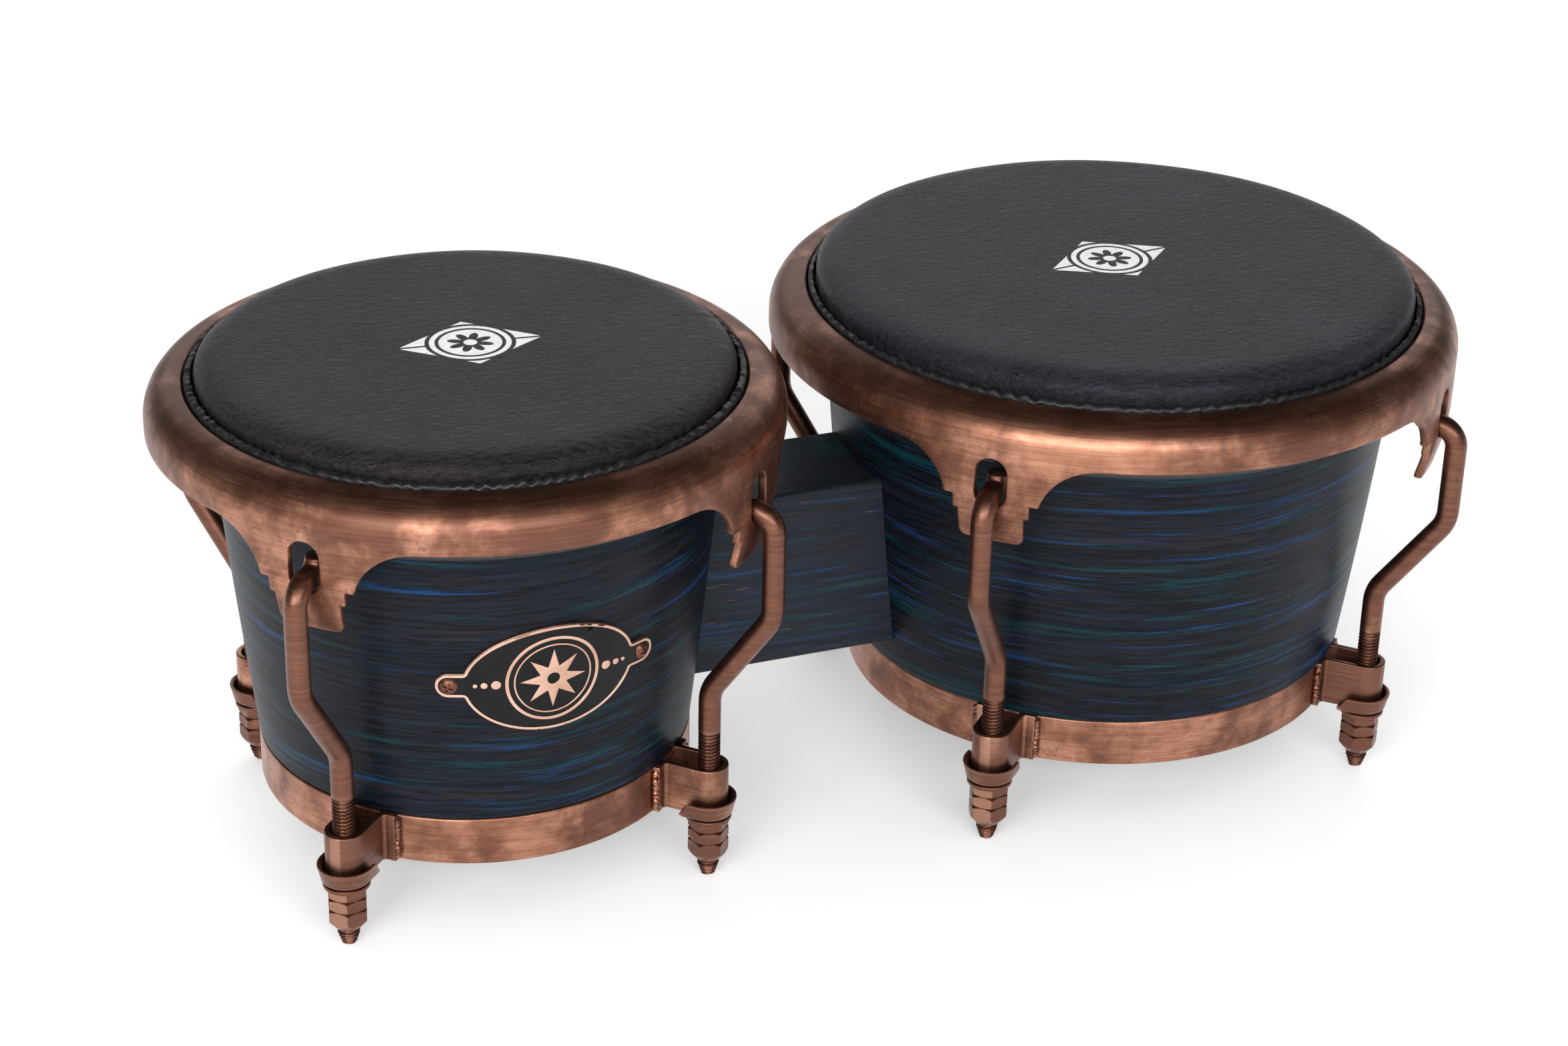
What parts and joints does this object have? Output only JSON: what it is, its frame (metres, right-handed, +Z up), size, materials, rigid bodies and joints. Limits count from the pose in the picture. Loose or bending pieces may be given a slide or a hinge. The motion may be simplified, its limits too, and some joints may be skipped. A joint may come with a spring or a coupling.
{
  "type": "bongo drums",
  "caption": "Small and large conical wooden hand drums joined by a block, with black heads, swept copper rims and cranked tuning rods.",
  "frame": {"origin": "middle of the pair's underside, at the level of the tuning rods' lower ends", "axes": "+X from the small drum to the large drum, +Z up through the heads, -Y the side of the badge"},
  "size_m": [0.4882, 0.2556, 0.1899],
  "materials": {
    "shell_wood": "blue and purple streaked stain under satin lacquer",
    "block_wood": "dark streaked stain, satin lacquer",
    "antique_copper": "brushed antique copper plate with dark patina",
    "head_skin": "fine-grained black, soft sheen",
    "hoop_steel": "plain drawn wire",
    "bolt_steel": "zinc plated",
    "badge_enamel": "black enamel in a rose-gold frame"
  },
  "bodies": {
    "root": {"macho_shell": "shell_wood", "macho_bottom_band": "antique_copper", "macho_head": "head_skin", "macho_saddle_1": "antique_copper", "macho_bracket_1": "antique_copper", "macho_saddle_2": "antique_copper", "macho_bracket_2": "antique_copper", "macho_saddle_3": "antique_copper", "macho_bracket_3": "antique_copper", "macho_saddle_4": "antique_copper", "macho_bracket_4": "antique_copper", "hembra_shell": "shell_wood", "hembra_bottom_band": "antique_copper", "hembra_head": "head_skin", "hembra_saddle_1": "antique_copper", "hembra_bracket_1": "antique_copper", "hembra_saddle_2": "antique_copper", "hembra_bracket_2": "antique_copper", "hembra_saddle_3": "antique_copper", "hembra_bracket_3": "antique_copper", "hembra_saddle_4": "antique_copper", "hembra_bracket_4": "antique_copper", "centre_block": "block_wood", "block_bolts": "bolt_steel", "block_washers": "bolt_steel", "badge": "badge_enamel", "badge_screws": "antique_copper"},
    "macho_nut_1": {"macho_tuning_nut_1": "antique_copper"},
    "macho_nut_2": {"macho_tuning_nut_2": "antique_copper"},
    "macho_nut_3": {"macho_tuning_nut_3": "antique_copper"},
    "macho_nut_4": {"macho_tuning_nut_4": "antique_copper"},
    "macho_rim_set": {"macho_head_tuck": "head_skin", "macho_flesh_hoop": "hoop_steel", "macho_rim": "antique_copper", "macho_hook_1": "antique_copper", "macho_hook_2": "antique_copper", "macho_hook_3": "antique_copper", "macho_hook_4": "antique_copper"},
    "hembra_nut_1": {"hembra_tuning_nut_1": "antique_copper"},
    "hembra_nut_2": {"hembra_tuning_nut_2": "antique_copper"},
    "hembra_nut_3": {"hembra_tuning_nut_3": "antique_copper"},
    "hembra_nut_4": {"hembra_tuning_nut_4": "antique_copper"},
    "hembra_rim_set": {"hembra_head_tuck": "head_skin", "hembra_flesh_hoop": "hoop_steel", "hembra_rim": "antique_copper", "hembra_hook_1": "antique_copper", "hembra_hook_2": "antique_copper", "hembra_hook_3": "antique_copper", "hembra_hook_4": "antique_copper"}
  },
  "joints": [
    {"name": "macho_nut_1_turn", "type": "hinge", "parent": "root", "child": "macho_nut_1", "pos_m": [-0.06664, 0.06626, 0.016], "axis": [0, 0, 1], "range_deg": [-1022, 767]},
    {"name": "macho_nut_2_turn", "type": "hinge", "parent": "root", "child": "macho_nut_2", "pos_m": [-0.19916, 0.06626, 0.016], "axis": [0, 0, 1], "range_deg": [-1022, 767]},
    {"name": "macho_nut_3_turn", "type": "hinge", "parent": "root", "child": "macho_nut_3", "pos_m": [-0.19916, -0.06626, 0.016], "axis": [0, 0, 1], "range_deg": [-1022, 767]},
    {"name": "macho_nut_4_turn", "type": "hinge", "parent": "root", "child": "macho_nut_4", "pos_m": [-0.06664, -0.06626, 0.016], "axis": [0, 0, 1], "range_deg": [-1022, 767]},
    {"name": "macho_rim_travel", "type": "slide", "parent": "root", "child": "macho_rim_set", "axis": [0, 0, 1], "range_m": [-0.003, 0.004]},
    {"name": "hembra_nut_1_turn", "type": "hinge", "parent": "root", "child": "hembra_nut_1", "pos_m": [0.19422, 0.07792, 0.016], "axis": [0, 0, 1], "range_deg": [-1022, 767]},
    {"name": "hembra_nut_2_turn", "type": "hinge", "parent": "root", "child": "hembra_nut_2", "pos_m": [0.03838, 0.07792, 0.016], "axis": [0, 0, 1], "range_deg": [-1022, 767]},
    {"name": "hembra_nut_3_turn", "type": "hinge", "parent": "root", "child": "hembra_nut_3", "pos_m": [0.03838, -0.07792, 0.016], "axis": [0, 0, 1], "range_deg": [-1022, 767]},
    {"name": "hembra_nut_4_turn", "type": "hinge", "parent": "root", "child": "hembra_nut_4", "pos_m": [0.19422, -0.07792, 0.016], "axis": [0, 0, 1], "range_deg": [-1022, 767]},
    {"name": "hembra_rim_travel", "type": "slide", "parent": "root", "child": "hembra_rim_set", "axis": [0, 0, 1], "range_m": [-0.003, 0.004]}
  ],
  "couplings": [
    {"joint": "macho_nut_1_turn", "follows": "macho_rim_travel", "rad_per_m": -4453},
    {"joint": "macho_nut_2_turn", "follows": "macho_rim_travel", "rad_per_m": -4453},
    {"joint": "macho_nut_3_turn", "follows": "macho_rim_travel", "rad_per_m": -4453},
    {"joint": "macho_nut_4_turn", "follows": "macho_rim_travel", "rad_per_m": -4453},
    {"joint": "hembra_nut_1_turn", "follows": "hembra_rim_travel", "rad_per_m": -4453},
    {"joint": "hembra_nut_2_turn", "follows": "hembra_rim_travel", "rad_per_m": -4453},
    {"joint": "hembra_nut_3_turn", "follows": "hembra_rim_travel", "rad_per_m": -4453},
    {"joint": "hembra_nut_4_turn", "follows": "hembra_rim_travel", "rad_per_m": -4453}
  ]
}
